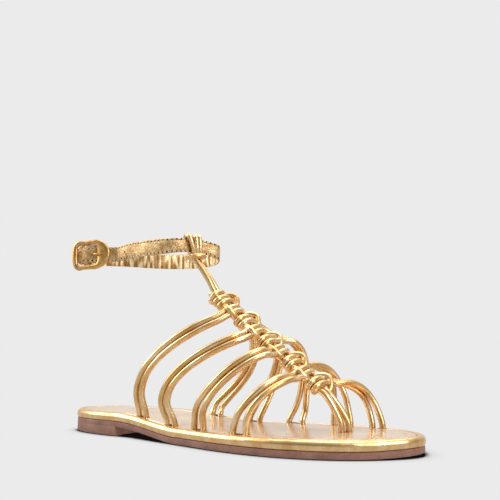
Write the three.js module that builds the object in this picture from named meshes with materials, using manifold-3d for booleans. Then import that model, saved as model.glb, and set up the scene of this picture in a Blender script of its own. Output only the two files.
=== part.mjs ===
// Gladiator sandal for the right foot: millimetres, +X to the toe, +Y to the inner (medial) side, +Z up.
// The origin lies on the floor under the middle of the heel block.
import * as THREE from "three";
import { mergeVertices } from "three/addons/utils/BufferGeometryUtils.js";
import Module from "manifold-3d";

const wasm = await Module();
wasm.setup();

// Driving dimensions of the sole
const soleLength = 250;
const heelWidth = 55;
const ballWidth = 87;
const outsoleThickness = 3.7;
const heelRise = 9; // floor to the top of the outsole under the heel
const rimHeight = 5.3; // the wrapped midsole with its rolled edge
const deckDepth = 1.5; // the footbed lies this far below the rolled edge
const rimWidth = 4.7;
const footbedThickness = 1.2;
const toeSpring = 1.3;
const heelLength = 57;
const clearance = 0.3;

// Driving dimensions of the upper
const cordDiameter = 3.8;
const strapInset = 6; // cord centre in from the sole's outline
const braidTopHeight = 84.8; // core of the braid at its first crossing
const braidFootHeight = 34.2; // core of the braid at its last crossing
const braidRoll = 12; // degrees, the medial edge of the braid stands higher
const tieHeight = 122.5; // middle of the ankle strap
const ankleLength = 106;
const ankleWidth = 48;
const bandHeight = 10.5;
const bandThickness = 1.6;

// Driving dimensions of the buckle
const buckleLength = 30;
const buckleHeight = 21.5;
const frameThickness = 2.4;
const barDiameter = 1.8;
const prongDiameter = 1.4;
const buckleAngle = 18; // degrees in plan, from the line of the foot

const cordRadius = cordDiameter / 2;
const originShare = 0.11;
const heelCentre = originShare * soleLength;

// Outline of the sole: half widths as shares of the heel width up to the waist and of the ball width after it
const outline = [
  { along: 0, base: "heel", lateral: 0, medial: 0 },
  { along: 0.015, base: "heel", lateral: 0.193, medial: 0.193 },
  { along: 0.05, base: "heel", lateral: 0.358, medial: 0.358 },
  { along: 0.12, base: "heel", lateral: 0.471, medial: 0.471 },
  { along: 0.2, base: "heel", lateral: 0.5, medial: 0.489 },
  { along: 0.3, base: "heel", lateral: 0.524, medial: 0.462 },
  { along: 0.4, base: "ball", lateral: 0.382, medial: 0.292 },
  { along: 0.5, base: "ball", lateral: 0.437, medial: 0.332 },
  { along: 0.6, base: "ball", lateral: 0.49, medial: 0.417 },
  { along: 0.7, base: "ball", lateral: 0.503, medial: 0.484 },
  { along: 0.78, base: "ball", lateral: 0.474, medial: 0.508 },
  { along: 0.86, base: "ball", lateral: 0.394, medial: 0.489 },
  { along: 0.92, base: "ball", lateral: 0.28, medial: 0.42 },
  { along: 0.965, base: "ball", lateral: 0.148, medial: 0.302 },
  { along: 0.99, base: "ball", lateral: 0.046, medial: 0.18 },
  { along: 1, base: "ball", lateral: -0.066, medial: 0.066 },
];

// Straps, each a pair of cords. land is a share of the sole length, station counts half pitches of the braid
// from its first crossing, and spread is the distance between the pair's cords at the sole in cord diameters.
// The foot and top handles of the bow lean along the foot, flare outwards and lift, as shares of its own rise.
const straps = [
  { side: -1, land: 0.309, station: 1, spread: 1.5, foot: [-0.13, 0.2, 0.54], top: [-0.11, 0.32, -0.12] },
  { side: -1, land: 0.421, station: 3, spread: 1.6, foot: [-0.33, 0.22, 0.55], top: [0.17, 0.41, 0] },
  { side: -1, land: 0.523, station: 5, spread: 1.7, foot: [-0.02, 0.23, 0.54], top: [0.42, 0.6, 0.28] },
  { side: -1, land: 0.649, station: 7, spread: 2.3, foot: [0.14, 0.22, 0.63], top: [0.34, 0.96, 0.15] },
  { side: 1, land: 0.416, station: 0, spread: 1.7, foot: [-0.17, 0.15, 0.12], top: [0.53, 0.25, -0.53] },
  { side: 1, land: 0.526, station: 2, spread: 2, foot: [0.14, 0.18, 0.47], top: [0.39, 0.3, -0.24] },
  { side: 1, land: 0.632, station: 4, spread: 2.5, foot: [0.06, 0.19, 0.24], top: [0.4, 0.34, 0.2] },
  { side: 1, land: 0.751, station: 6, spread: 3, foot: [-0.12, 0.2, 1.0], top: [0.2, 0.46, -0.1] },
  { side: 1, land: 0.845, station: 8, spread: 1.7, foot: [-0.25, 0.2, 0.84], top: [0.48, 0.7, 0.1] },
];
const lastStation = 8;

// Middle line of the braid's core, as shares of the sole length and of the braid's height range
const braidLine = [
  { along: 0.489, aside: 0.008, drop: 0 },
  { along: 0.605, aside: 0.024, drop: 0.463 },
  { along: 0.752, aside: 0.045, drop: 1 },
];

// Plan of the ankle strap from the fold at the buckle round the heel to the tail, as shares of its own
// length and width; lift is a share of the band's height.
const ankleLoop = [
  { along: -0.482, aside: -0.41, lift: -0.02 },
  { along: -0.496, aside: -0.25, lift: 0 },
  { along: -0.468, aside: -0.04, lift: 0.06 },
  { along: -0.4, aside: 0.17, lift: 0.1 },
  { along: -0.29, aside: 0.36, lift: 0.05 },
  { along: -0.14, aside: 0.47, lift: -0.1 },
  { along: 0.08, aside: 0.5, lift: -0.28 },
  { along: 0.29, aside: 0.47, lift: -0.36 },
  { along: 0.43, aside: 0.38, lift: -0.3 },
  { along: 0.495, aside: 0.22, lift: -0.14 },
  { along: 0.455, aside: 0.05, lift: 0.06 },
  { along: 0.41, aside: -0.1, lift: 0.14 },
  { along: 0.37, aside: -0.27, lift: 0.12 },
  { along: 0.31, aside: -0.39, lift: 0.04 },
  { along: 0.17, aside: -0.44, lift: 0 },
  { along: -0.01, aside: -0.4, lift: 0 },
];
const tiePlace = 0.745; // share of the loop's rows at which the instep cords are tied round the band
const buckleAlong = -0.312;
const buckleAside = -0.47;
const buckleLift = -0.1;

const lerp = THREE.MathUtils.lerp;
const clamp = THREE.MathUtils.clamp;
const point = (x, y, z) => new THREE.Vector3(x, y, z);

function tableValue(rows, key, share) {
  const last = rows.length - 1;
  if (share >= rows[last].along) return rows[last][key];
  const index = Math.max(1, rows.findIndex((row) => row.along > share));
  const before = rows[index - 1];
  const after = rows[index];
  return lerp(before[key], after[key], (share - before.along) / (after.along - before.along));
}

const outlineWidths = outline.map((row) => {
  const width = row.base === "heel" ? heelWidth : ballWidth;
  return { along: row.along, lateral: -row.lateral * width, medial: row.medial * width };
});

function edgeAt(x, side) {
  return tableValue(outlineWidths, side < 0 ? "lateral" : "medial", x / soleLength);
}

// Height of the seam between outsole and midsole. The heel seat runs down to the ball on a slanting line,
// further forward on the medial side, and the toe springs up a little.
const slopeStart = 0.28;
const slopeEnd = 0.496;
const slopeSkew = 0.4;
const springStart = 0.9;

function seamHeight(x, y) {
  const share = (x - slopeSkew * y) / soleLength;
  const down = 1 - clamp((share - slopeStart) / (slopeEnd - slopeStart), 0, 1);
  const spring = clamp((x / soleLength - springStart) / (1 - springStart), 0, 1);
  return outsoleThickness + (heelRise - outsoleThickness) * down + toeSpring * spring * spring;
}

const deckHeight = (x, y) => seamHeight(x, y) + clearance + rimHeight - deckDepth;
const footbedTop = (x, y) => deckHeight(x, y) + clearance + footbedThickness;

// Solids
function solidFrom(geometry) {
  const plain = geometry.index ? geometry : mergeVertices(geometry);
  plain.deleteAttribute("normal");
  plain.deleteAttribute("uv");
  const merged = mergeVertices(plain, 1e-4);
  const mesh = new wasm.Mesh({
    numProp: 3,
    vertProperties: new Float32Array(merged.attributes.position.array),
    triVerts: new Uint32Array(merged.index.array),
  });
  return new wasm.Manifold(mesh);
}

function meshFrom(name, solid, material) {
  const data = solid.getMesh();
  const geometry = new THREE.BufferGeometry();
  geometry.setAttribute("position", new THREE.BufferAttribute(new Float32Array(data.vertProperties), 3));
  geometry.setIndex(new THREE.BufferAttribute(new Uint32Array(data.triVerts), 1));
  geometry.computeVertexNormals();
  const mesh = new THREE.Mesh(geometry, material);
  mesh.name = name;
  return mesh;
}

// Closed loft through rings of points; the first and last rings are closed by a fan or by a strip that
// joins the two sides, so that a curved face keeps its shape.
function loft(rings, capStrips) {
  const count = rings[0].length;
  const positions = rings.flat().flatMap((p) => [p.x, p.y, p.z]);
  const faces = [];
  for (let ring = 0; ring + 1 < rings.length; ring += 1) {
    for (let i = 0; i < count; i += 1) {
      const a = ring * count + i;
      const b = ring * count + ((i + 1) % count);
      faces.push(a, b, b + count, a, b + count, a + count);
    }
  }
  const capFaces = capStrips(count);
  const lastRing = (rings.length - 1) * count;
  for (const [a, b, c] of capFaces) {
    faces.push(a, c, b);
    faces.push(lastRing + a, lastRing + b, lastRing + c);
  }
  const geometry = new THREE.BufferGeometry();
  geometry.setAttribute("position", new THREE.Float32BufferAttribute(positions, 3));
  geometry.setIndex(faces);
  const solid = solidFrom(geometry);
  if (solid.volume() > 0) return solid;
  const flipped = [];
  for (let i = 0; i < faces.length; i += 3) flipped.push(faces[i], faces[i + 2], faces[i + 1]);
  geometry.setIndex(flipped);
  return solidFrom(geometry);
}

function fanCap(count) {
  const faces = [];
  for (let i = 1; i + 1 < count; i += 1) faces.push([0, i, i + 1]);
  return faces;
}

// Joins the two sides of a sole ring, station by station
function stripCap(count) {
  const half = count / 2;
  const faces = [];
  for (let i = 0; i < half; i += 1) {
    const left = (count - i) % count;
    const nextLeft = count - i - 1;
    if (i > 0) faces.push([left, i, i + 1]);
    if (i + 1 < half) faces.push([left, i + 1, nextLeft]);
  }
  return faces;
}

const outlineSteps = [0, 0.012, 0.04, 0.09, 0.16, 0.24, 0.32, 0.4, 0.48, 0.56, 0.64, 0.72,
  0.79, 0.85, 0.9, 0.94, 0.968, 0.986, 0.997, 1];

// The outline is smoothed as one closed curve through the table's points
const outlineCurve = (() => {
  const medial = outlineWidths.map((row) => point(row.along * soleLength, row.medial, 0));
  const inner = outlineWidths.slice(1, -1);
  const lateral = inner.map((row) => point(row.along * soleLength, row.lateral, 0)).reverse();
  return new THREE.CatmullRomCurve3([...medial, ...lateral], true, "centripetal");
})();

// A ring of points inside the outline, up the medial side from heel to toe and back on the lateral side
function outlineRing(inset, height) {
  const rows = outlineWidths.length - 1;
  const curveAt = (t) => outlineCurve.getPoint(((t % 1) + 1) % 1);
  const placeOf = (share, side) => {
    const index = share >= 1 ? rows : outlineWidths.findIndex((row) => row.along > share);
    const before = outlineWidths[index - 1].along;
    const after = outlineWidths[index].along;
    const along = (index - 1 + (share - before) / (after - before)) / (2 * rows);
    return side > 0 ? along : 1 - along;
  };
  const inward = (t) => {
    const ahead = curveAt(t + 0.002).sub(curveAt(t - 0.002)).normalize();
    return curveAt(t).addScaledVector(point(ahead.y, -ahead.x, 0), inset);
  };
  const medial = outlineSteps.map((share) => inward(placeOf(share, 1)));
  const lateral = outlineSteps.slice(1, -1).reverse().map((share) => inward(placeOf(share, -1)));
  return [...medial, ...lateral].map((p) => point(p.x, p.y, height(p.x, p.y)));
}

function cord(points, radius, steps, sides = 6) {
  const curve = new THREE.CatmullRomCurve3(points, false, "centripetal");
  const shape = new THREE.Shape();
  for (let i = 0; i < sides; i += 1) {
    const angle = (2 * Math.PI * i) / sides;
    if (i === 0) shape.moveTo(radius * Math.cos(angle), radius * Math.sin(angle));
    else shape.lineTo(radius * Math.cos(angle), radius * Math.sin(angle));
  }
  const geometry = new THREE.ExtrudeGeometry(shape, { steps, bevelEnabled: false, extrudePath: curve });
  return solidFrom(geometry);
}

const join = (solids) => wasm.Manifold.union(solids);

// The braid's own frame: distance along its middle line, aside to the given side, and out from the foot
const braidCurve = new THREE.CatmullRomCurve3(
  braidLine.map((row) => point(
    row.along * soleLength,
    row.aside * ballWidth,
    lerp(braidTopHeight, braidFootHeight, row.drop),
  )),
);
const braidLength = braidCurve.getLength();
const halfPitch = braidLength / lastStation;

function braidFrame(station) {
  const share = clamp(station / lastStation, 0, 1);
  const ahead = braidCurve.getTangentAt(share).normalize();
  const beyond = (station - share * lastStation) * halfPitch;
  const middle = braidCurve.getPointAt(share).addScaledVector(ahead, beyond);
  const across = point(0, 1, 0).addScaledVector(ahead, -ahead.y).normalize();
  const out = new THREE.Vector3().crossVectors(ahead, across).normalize();
  if (out.z < 0) out.negate();
  const roll = THREE.MathUtils.degToRad(braidRoll);
  const rolledAcross = across.clone().multiplyScalar(Math.cos(roll)).addScaledVector(out, Math.sin(roll));
  const rolledOut = out.clone().multiplyScalar(Math.cos(roll)).addScaledVector(across, -Math.sin(roll));
  return { middle, ahead, across: rolledAcross, out: rolledOut };
}

// Places in the braid are given in cord diameters from the core
function braidPoint(station, side, aside, out, ahead = 0) {
  const frame = braidFrame(station);
  return frame.middle.clone()
    .addScaledVector(frame.across, side * aside * cordDiameter)
    .addScaledVector(frame.out, out * cordDiameter)
    .addScaledVector(frame.ahead, ahead * cordDiameter);
}

// One crossing over the core, from the strap's side to its tuck on the other side, in cord diameters
const crossing = [
  { aside: 1.1, out: 0.78 },
  { aside: 0, out: 0.98 },
  { aside: -1.1, out: 0.74 },
  { aside: -1.5, out: 0.05 },
  { aside: -0.95, out: -0.42 },
];
const arriveAside = 2;
const pairGap = 1.08;

const slotDepth = 0.4; // the cords' slots go this far into the deck
const standing = deckDepth + slotDepth + 1.8; // each cord leaves its slot standing this high

function strapFoot(row) {
  const x = row.land * soleLength;
  const y = edgeAt(x, row.side) - row.side * strapInset;
  return point(x, y, deckHeight(x, y) - slotDepth + clearance);
}

function strapRoute(row, twin) {
  const foot = strapFoot(row);
  const leave = foot.clone().add(point(0, 0, standing));
  const arrive = braidPoint(row.station, row.side, arriveAside, 0);
  const rise = arrive.z - leave.z;
  const handle = (from, [lean, flare, lift]) =>
    from.clone().add(point(lean * rise, row.side * flare * rise, lift * rise));
  const bow = new THREE.CubicBezierCurve3(leave, handle(leave, row.foot), handle(arrive, row.top), arrive);
  const braidAhead = braidFrame(row.station).ahead;
  const footStep = point(twin * row.spread * cordDiameter, 0, 0);
  const route = [foot.clone().add(footStep), leave.clone().add(footStep)];
  for (const t of [0.14, 0.28, 0.42, 0.56, 0.7, 0.82, 0.92]) {
    const tangent = bow.getTangent(t);
    const beside = point(tangent.z, 0, -tangent.x).normalize().lerp(braidAhead, t * t).normalize();
    const spread = lerp(row.spread, pairGap, Math.min(1, t * 3)) * cordDiameter;
    route.push(bow.getPoint(t).addScaledVector(beside, twin * spread));
  }
  for (const place of crossing) {
    route.push(braidPoint(row.station, row.side, place.aside, place.out, twin * pairGap));
  }
  return route;
}

// A side loop lies over its strap pair and dives back to the core half a pitch away on either side
const sideLoop = [
  { step: -0.62, aside: 1.2, out: -0.2 },
  { step: -0.46, aside: 2, out: 0.55 },
  { step: 0, aside: 2.65, out: 1.05 },
  { step: 0.46, aside: 2, out: 0.55 },
  { step: 0.62, aside: 1.2, out: -0.2 },
];

function loopRoute(station, side) {
  return sideLoop.map((place) => braidPoint(station + place.step, side, place.aside, place.out));
}

// Cords tied round the band run down the instep as the braid's core and end as the toe post
const ankleCentreX = heelCentre + 0.283 * ankleLength;
const anklePoint = (along, aside, lift) =>
  point(ankleCentreX + along * ankleLength, aside * ankleWidth, tieHeight + lift * bandHeight);
// The two instep cords leave the tie one behind the other: the way between them, along and across the foot
const instepPair = [-0.3, 0.954];
const instepGap = 1.04; // in cord diameters
const instepShift = 2.45; // how far round from the tie's middle the instep cords leave it
const tieTurns = [ // how far along the band a turn lies at its top and its foot, and how far out it stands
  { top: -3.1, foot: 1.6, lift: 0.7 },
  { top: 2.4, foot: 4, lift: 0.2 },
  { top: 5.4, foot: 6.2, lift: 0 },
];
const tieRadius = 1.6; // a turn of the tie is pulled thinner than the cord
const binding = { along: 5.35, out: 3.4, drop: 1, shift: 3, tilt: 0.27 };
const coreSpread = 0.5;
const postFootAlong = 0.818;
const postAside = 0.072;

// The middle of the band and its outward way, so many millimetres round from the tie
function tieFrame(shift) {
  const loop = ankleLoop.map((row) => anklePoint(row.along, row.aside, row.lift));
  const curve = new THREE.CatmullRomCurve3(loop, false, "centripetal");
  const step = 0.001;
  const pace = curve.getPoint(tiePlace).distanceTo(curve.getPoint(tiePlace + step)) / step;
  const place = tiePlace - shift / pace;
  const along = curve.getTangent(place);
  const out = point(Math.abs(along.y), -Math.abs(along.x), 0).normalize();
  return { middle: curve.getPoint(place), along: point(-out.y, out.x, 0), out };
}

function postFoot(twin) {
  const x = postFootAlong * soleLength + twin * coreSpread * cordDiameter * 0.6;
  const y = (postAside + twin * 0.027) * ballWidth;
  return point(x, y, deckHeight(x, y) - slotDepth + clearance);
}

function coreRoute(twin) {
  const tie = tieFrame(instepShift);
  const start = tie.middle.clone()
    .addScaledVector(point(...instepPair, 0), twin * 0.5 * instepGap * cordDiameter)
    .addScaledVector(tie.out, 0.35 * cordDiameter)
    .add(point(0, 0, -(bandHeight / 2 + 2.4 * clearance + cordRadius)));
  const top = braidPoint(0, 1, twin * coreSpread, 0);
  const bend = start.clone().lerp(top, 0.45).add(point(1.8, 0, -1));
  const foot = postFoot(twin);
  const route = [start, bend];
  for (let station = 0; station <= lastStation; station += 2) {
    route.push(braidPoint(station, 1, twin * coreSpread, 0));
  }
  route.push(braidPoint(lastStation + 0.8, 1, twin * coreSpread, 0.1));
  route.push(foot.clone().add(point(-0.6, 0, 7)), foot.clone().add(point(0, 0, standing)), foot);
  return route;
}

// One turn of a tie round the band, closed behind the core cord that it becomes
function tieRing(row) {
  const halfHeight = bandHeight / 2 + 1.4 * clearance + tieRadius;
  const halfDepth = bandThickness / 2 + 3.5 * clearance + tieRadius + row.lift;
  const corners = [[-0.1, -1.06], [0.5, -1.04], [0.98, -0.76], [1.1, 0], [0.98, 0.76], [0.5, 1.04], [-0.5, 1.04],
    [-0.98, 0.76], [-1.1, 0], [-0.98, -0.76], [-0.5, -1.04], [0.2, -1.06]];
  return corners.map(([out, up]) => {
    const tie = tieFrame(lerp(row.foot, row.top, up / 2 + 0.5));
    return tie.middle.addScaledVector(tie.out, out * halfDepth).add(point(0, 0, up * halfHeight));
  });
}

// A short cord bound flat round the two instep cords, right under the band
function bindingRoute() {
  const tie = tieFrame(binding.shift);
  const middle = tie.middle.clone().addScaledVector(tie.out, 1.2)
    .add(point(0, 0, -(bandHeight / 2 + cordRadius + binding.drop)));
  return Array.from({ length: 11 }, (_, i) => THREE.MathUtils.degToRad(130 + 36 * i))
    .map((angle) => middle.clone().addScaledVector(tie.along, binding.along * Math.cos(angle))
      .addScaledVector(tie.out, binding.out * Math.sin(angle)).add(point(0, 0, binding.tilt * Math.cos(angle))));
}

function topKnot() {
  const wrap = [[1.15, 0.1], [0.85, 0.8], [0, 1], [-0.95, 0.85], [-1.45, 0],
    [-0.95, -0.8], [0, -0.92], [0.85, -0.8], [1.15, -0.15]];
  const ring = cord(wrap.map(([aside, out]) => braidPoint(-0.78, -1, aside, out)), cordRadius, 12);
  const ball = new THREE.IcosahedronGeometry(0.62 * cordDiameter, 1);
  const end = braidPoint(-0.95, -1, 1.1, 0.15);
  ball.translate(end.x, end.y, end.z);
  return join([ring, solidFrom(ball)]);
}

// Outsole with its low heel block in one moulding
function outsole() {
  const top = (x, y) => seamHeight(x, y);
  const under = (x, y) => Math.max(seamHeight(x, y) - outsoleThickness, 0);
  const layer = loft([
    outlineRing(1, under),
    outlineRing(0, (x, y) => under(x, y) + 0.9),
    outlineRing(0, (x, y) => top(x, y) - 0.6),
    outlineRing(0.5, top),
  ], stripCap);
  const block = loft([
    outlineRing(1.6, () => 0),
    outlineRing(0.6, () => 1.4),
    outlineRing(0.3, (x, y) => under(x, y) + 1.6),
  ], stripCap);
  const keep = new THREE.BoxGeometry(2 * heelLength, 2 * ballWidth, 4 * heelRise);
  return layer.add(block.intersect(solidFrom(keep)));
}

// Midsole wrapped with the upper's leather: a rolled edge round a sunken deck
function midsole() {
  const base = (x, y) => seamHeight(x, y) + clearance;
  const rolled = [
    { inset: 0.8, height: 0 },
    { inset: 0, height: 0.42 },
    { inset: 0.5, height: 0.82 },
    { inset: 2, height: 1 },
    { inset: rimWidth - 0.5, height: 0.94 },
  ];
  const rings = rolled.map((row) => outlineRing(row.inset, (x, y) => base(x, y) + row.height * rimHeight));
  rings.push(outlineRing(rimWidth, deckHeight));
  return loft(rings, stripCap);
}

function footbed() {
  const inset = rimWidth + clearance;
  return loft([
    outlineRing(inset, (x, y) => deckHeight(x, y) + clearance),
    outlineRing(inset, (x, y) => footbedTop(x, y) - 0.3),
    outlineRing(inset + 0.5, footbedTop),
  ], stripCap);
}

// A slot in the sole for each pair of cords
function cordSlots() {
  const slots = [];
  const addSlot = (ends) => {
    const ahead = ends[1].clone().sub(ends[0]).setZ(0);
    const reach = ahead.length() / 2 + cordRadius + 1.8 * clearance;
    const width = cordRadius + 1.8 * clearance;
    const shape = roundedOutline(new THREE.Shape(), -reach, reach, width, width - 0.01);
    const depth = slotDepth + rimHeight + cordDiameter;
    const geometry = new THREE.ExtrudeGeometry(shape, { depth, bevelEnabled: false, curveSegments: 2 });
    geometry.rotateZ(Math.atan2(ahead.y, ahead.x));
    const middle = ends[0].clone().add(ends[1]).multiplyScalar(0.5);
    geometry.translate(middle.x, middle.y, Math.min(ends[0].z, ends[1].z) - clearance);
    slots.push(solidFrom(geometry));
  };
  for (const row of straps) {
    const half = point(0.5 * row.spread * cordDiameter, 0, 0);
    addSlot([strapFoot(row).sub(half), strapFoot(row).add(half)]);
  }
  addSlot([postFoot(-1), postFoot(1)]);
  return join(slots);
}

function upper() {
  const pieces = [];
  for (const row of straps) {
    for (const twin of [-0.5, 0.5]) pieces.push(cord(strapRoute(row, twin), cordRadius, 17));
  }
  for (let station = 0; station <= lastStation; station += 1) {
    const side = station % 2 === 0 ? 1 : -1;
    pieces.push(cord(loopRoute(station, side), cordRadius, 6));
  }
  for (const twin of [-1, 1]) {
    pieces.push(cord(coreRoute(twin), cordRadius, 22));
  }
  for (const row of tieTurns) pieces.push(cord(tieRing(row), tieRadius, 11));
  pieces.push(cord(bindingRoute(), cordRadius, 10));
  pieces.push(topKnot());
  return join(pieces);
}

// Places at the buckle: along the strap, and out from the foot
const turn = THREE.MathUtils.degToRad(buckleAngle);
const strapWise = point(Math.cos(turn), Math.sin(turn), 0);
const outWise = point(Math.sin(turn), -Math.cos(turn), 0);
const buckleCentre = anklePoint(buckleAlong, buckleAside, buckleLift);
const atBuckle = (along, out, up = 0) => buckleCentre.clone()
  .addScaledVector(strapWise, along).addScaledVector(outWise, out).add(point(0, 0, up));

const barRadius = barDiameter / 2;
const foldRadius = barRadius + 1.5 * clearance + bandThickness / 2;
const tailOut = foldRadius + bandThickness + clearance;
const tailLow = barRadius + bandThickness * 0.62;
const frameOut = tailLow + bandThickness / 2 + 1.6 * clearance + frameThickness / 2;
const openingStart = -0.33 * buckleLength;
const openingEnd = 0.17 * buckleLength;
const barAlong = (openingStart + openingEnd) / 2;
const openingHeight = bandHeight + 2 * (barDiameter + clearance) - 0.4;

function bandRoute() {
  const fold = [[0.45, 1], [0.95, 0.35], [0.8, -0.6], [0, -1]]
    .map(([along, out]) => atBuckle(barAlong + along * foldRadius, out * foldRadius));
  const inner = [atBuckle(barAlong - 3, -foldRadius), atBuckle(openingStart, -foldRadius)];
  const loop = ankleLoop.map((row) => anklePoint(row.along, row.aside, row.lift));
  const tail = [
    atBuckle(0.62 * buckleLength, 0.85 * bandThickness),
    atBuckle(0.4 * buckleLength, tailLow),
    atBuckle(openingEnd, tailLow + 0.1),
    atBuckle(barAlong + 2.6, tailOut - 0.35),
    atBuckle(barAlong, tailOut),
    atBuckle(barAlong - 2.6, tailOut - 0.35),
    atBuckle(openingStart, tailLow + 0.1),
    atBuckle(openingStart - 2.6, tailLow),
  ];
  return [...fold, ...inner, ...loop, ...tail];
}

function ankleStrap() {
  const route = bandRoute();
  const curve = new THREE.CatmullRomCurve3(route, false, "centripetal");
  const steps = 3 * (route.length - 1);
  const half = bandThickness / 2;
  const tall = bandHeight / 2;
  const section = [[-half, -tall], [-half, tall], [half, tall], [half, -tall]];
  const rings = [];
  for (let i = 0; i <= steps; i += 1) {
    const ahead = curve.getTangent(i / steps);
    const beside = point(ahead.y, -ahead.x, 0).normalize();
    const middle = curve.getPoint(i / steps);
    rings.push(section.map(([out, up]) => middle.clone().addScaledVector(beside, out).add(point(0, 0, up))));
  }
  const band = loft(rings, fanCap);
  const slotHeight = prongDiameter + 4 * clearance;
  const slot = new THREE.BoxGeometry(4.4 * foldRadius, 2.6 * foldRadius, slotHeight);
  slot.rotateZ(turn);
  const slotPlace = atBuckle(barAlong + 0.5 * foldRadius, 0);
  slot.translate(slotPlace.x, slotPlace.y, slotPlace.z);
  const hole = new THREE.CylinderGeometry(1.35, 1.35, 3 * bandThickness, 12);
  hole.rotateZ(turn);
  hole.scale(1.3, 1, 1);
  const holePlace = atBuckle(barAlong + 4, tailOut - 0.5);
  hole.translate(holePlace.x, holePlace.y, holePlace.z);
  return band.subtract(solidFrom(slot)).subtract(solidFrom(hole));
}

function roundedOutline(path, left, right, halfHeight, radius) {
  path.moveTo(left + radius, -halfHeight);
  path.lineTo(right - radius, -halfHeight);
  path.absarc(right - radius, -halfHeight + radius, radius, -Math.PI / 2, 0);
  path.lineTo(right, halfHeight - radius);
  path.absarc(right - radius, halfHeight - radius, radius, 0, Math.PI / 2);
  path.lineTo(left + radius, halfHeight);
  path.absarc(left + radius, halfHeight - radius, radius, Math.PI / 2, Math.PI);
  path.lineTo(left, -halfHeight + radius);
  path.absarc(left + radius, -halfHeight + radius, radius, Math.PI, 1.5 * Math.PI);
  return path;
}

function placeOnBuckle(geometry, out) {
  const matrix = new THREE.Matrix4().makeBasis(strapWise, point(0, 0, 1), outWise);
  matrix.setPosition(atBuckle(0, out));
  return geometry.applyMatrix4(matrix);
}

function buckleFrame() {
  const bevel = 0.8;
  const halfLength = buckleLength / 2 - bevel;
  const halfHeight = buckleHeight / 2 - bevel;
  const shape = roundedOutline(new THREE.Shape(), -halfLength, halfLength, halfHeight, 0.3 * buckleHeight);
  const cornerRadius = 0.1 * buckleHeight;
  const halfOpening = openingHeight / 2 + bevel;
  const hole = new THREE.Path();
  roundedOutline(hole, openingStart - bevel, openingEnd + bevel, halfOpening, cornerRadius);
  shape.holes.push(hole);
  const geometry = new THREE.ExtrudeGeometry(shape, {
    depth: frameThickness - 2 * bevel,
    bevelThickness: bevel,
    bevelSize: bevel,
    bevelSegments: 1,
    curveSegments: 4,
  });
  geometry.translate(0, 0, -(frameThickness - 2 * bevel) / 2);
  const ring = solidFrom(placeOnBuckle(geometry, frameOut));
  const shoulder = bandHeight / 2 + clearance + barRadius;
  const bar = cord([
    atBuckle(barAlong, frameOut, shoulder + 1.6),
    atBuckle(barAlong, frameOut * 0.7, shoulder + 0.25),
    atBuckle(barAlong, 0.6, shoulder - 0.05),
    atBuckle(barAlong, 0, shoulder - 0.7),
    atBuckle(barAlong, 0, 0),
    atBuckle(barAlong, 0, -shoulder + 0.7),
    atBuckle(barAlong, 0.6, -shoulder + 0.05),
    atBuckle(barAlong, frameOut * 0.7, -shoulder - 0.25),
    atBuckle(barAlong, frameOut, -shoulder - 1.6),
  ], barRadius, 16);
  return join([ring, bar]);
}

function buckleProng() {
  const reach = barRadius + clearance + prongDiameter / 2;
  const rest = frameOut + frameThickness / 2 + clearance + prongDiameter / 2;
  return cord([
    atBuckle(barAlong - reach, 0.2),
    atBuckle(barAlong - 0.7 * reach, -0.75 * reach),
    atBuckle(barAlong, -reach),
    atBuckle(barAlong + 0.75 * reach, -0.7 * reach),
    atBuckle(barAlong + 1.15 * reach, 0.3),
    atBuckle(barAlong + 3.2, tailLow),
    atBuckle(barAlong + 4.4, tailOut + 0.2),
    atBuckle(openingEnd - 0.4, rest - 0.25),
    atBuckle(openingEnd + 1.6, rest),
    atBuckle(openingEnd + 3.4, rest),
  ], prongDiameter / 2, 16);
}

const leather = (color, roughness, metalness) => new THREE.MeshStandardMaterial({ color, roughness, metalness });
const cordLeather = leather(0xd3a765, 0.34, 0.7);
const rimLeather = leather(0xd6b184, 0.4, 0.6);
const footbedLeather = leather(0xdccabd, 0.35, 0.25);
const strapLeather = leather(0xd9c094, 0.42, 0.5);
const soleRubber = leather(0x8f6a5c, 0.7, 0);
const buckleMetal = leather(0xc9964a, 0.3, 1);

const slots = cordSlots();
const sandal = new THREE.Group();
sandal.add(
  meshFrom("outsole", outsole(), soleRubber),
  meshFrom("midsole", midsole().subtract(slots), rimLeather),
  meshFrom("footbed", footbed().subtract(slots), footbedLeather),
  meshFrom("upper", upper(), cordLeather),
  meshFrom("ankle_strap", ankleStrap(), strapLeather),
  meshFrom("buckle_frame", buckleFrame(), buckleMetal),
  meshFrom("buckle_prong", buckleProng(), buckleMetal),
);
for (const piece of sandal.children) piece.position.x = -heelCentre;

export default sandal;
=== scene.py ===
from math import atan2, cos, pi, radians, sin, sqrt

import bmesh
import bpy
from mathutils import Matrix, Vector, noise


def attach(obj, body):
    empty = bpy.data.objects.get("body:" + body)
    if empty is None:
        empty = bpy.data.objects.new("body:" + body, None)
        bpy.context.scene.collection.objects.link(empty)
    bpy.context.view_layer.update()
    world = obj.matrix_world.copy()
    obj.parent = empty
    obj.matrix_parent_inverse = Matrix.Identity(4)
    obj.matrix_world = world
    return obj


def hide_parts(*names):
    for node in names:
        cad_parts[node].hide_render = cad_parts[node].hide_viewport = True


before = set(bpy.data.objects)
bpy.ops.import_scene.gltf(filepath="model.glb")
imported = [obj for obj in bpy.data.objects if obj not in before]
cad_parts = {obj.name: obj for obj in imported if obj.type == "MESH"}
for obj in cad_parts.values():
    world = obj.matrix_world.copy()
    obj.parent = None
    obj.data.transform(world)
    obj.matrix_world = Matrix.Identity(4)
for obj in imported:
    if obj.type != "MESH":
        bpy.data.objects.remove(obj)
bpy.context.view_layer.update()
print("frame loaded, nodes:", ", ".join(sorted(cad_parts)))

# The shoe is worked out in its own millimetres, with X from the back of the heel to the toe, and toFrame moves
# it to the frame's metres.
heelCentre = 27.5
toFrame = Matrix.Scale(0.001, 4) @ Matrix.Translation((-heelCentre, 0, 0))
upwards = Vector((0, 0, 1))


# Materials

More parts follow.
